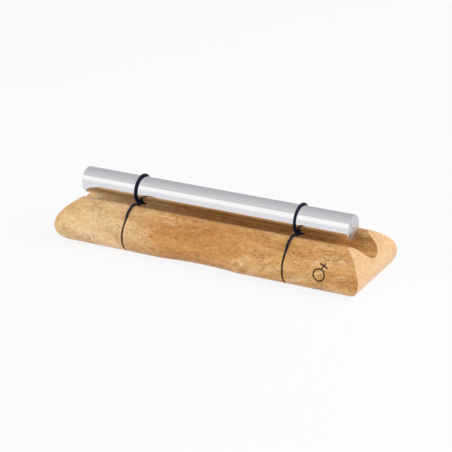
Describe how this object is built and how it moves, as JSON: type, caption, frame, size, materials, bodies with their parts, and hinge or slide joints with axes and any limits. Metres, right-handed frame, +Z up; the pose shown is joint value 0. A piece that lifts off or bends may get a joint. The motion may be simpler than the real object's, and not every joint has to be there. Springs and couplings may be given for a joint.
{
  "type": "chime bar",
  "caption": "Polished round metal rod slung by dark elastic cords over a grooved, round-topped hardwood block with a finger scoop on each long side",
  "frame": {"origin": "centre of the block's underside, where the box around the whole object meets the table", "axes": "+X along the rod towards the end with the sign, +Y to the back, +Z up"},
  "size_m": [0.199, 0.057, 0.0433],
  "materials": {
    "hardwood": "golden brown hardwood with short dark pores, clear satin lacquer",
    "rod_metal": "polished bright, ends faced on a lathe",
    "elastic_cord": "tightly braided black elastic cord"
  },
  "bodies": {
    "base": {"wooden_block": "hardwood", "left_kerf_band": "elastic_cord", "right_kerf_band": "elastic_cord", "left_front_strand": "elastic_cord", "right_front_strand": "elastic_cord", "left_back_strand": "elastic_cord", "right_back_strand": "elastic_cord"},
    "sling": {"left_rod_loop": "elastic_cord", "right_rod_loop": "elastic_cord"},
    "rod": {"chime_rod": "rod_metal"}
  },
  "joints": [
    {"name": "sling_bounce", "type": "slide", "parent": "base", "child": "sling", "axis": [0, 0, 1], "range_m": [-0.002, 0.002], "stiffness_N_per_m": 1000, "springref_m": 0.00096, "deforming": ["left_front_strand", "right_front_strand", "left_back_strand", "right_back_strand"]},
    {"name": "rod_spin", "type": "hinge", "parent": "sling", "child": "rod", "pos_m": [0, 0, 0.03299], "axis": [1, 0, 0], "continuous": true}
  ]
}
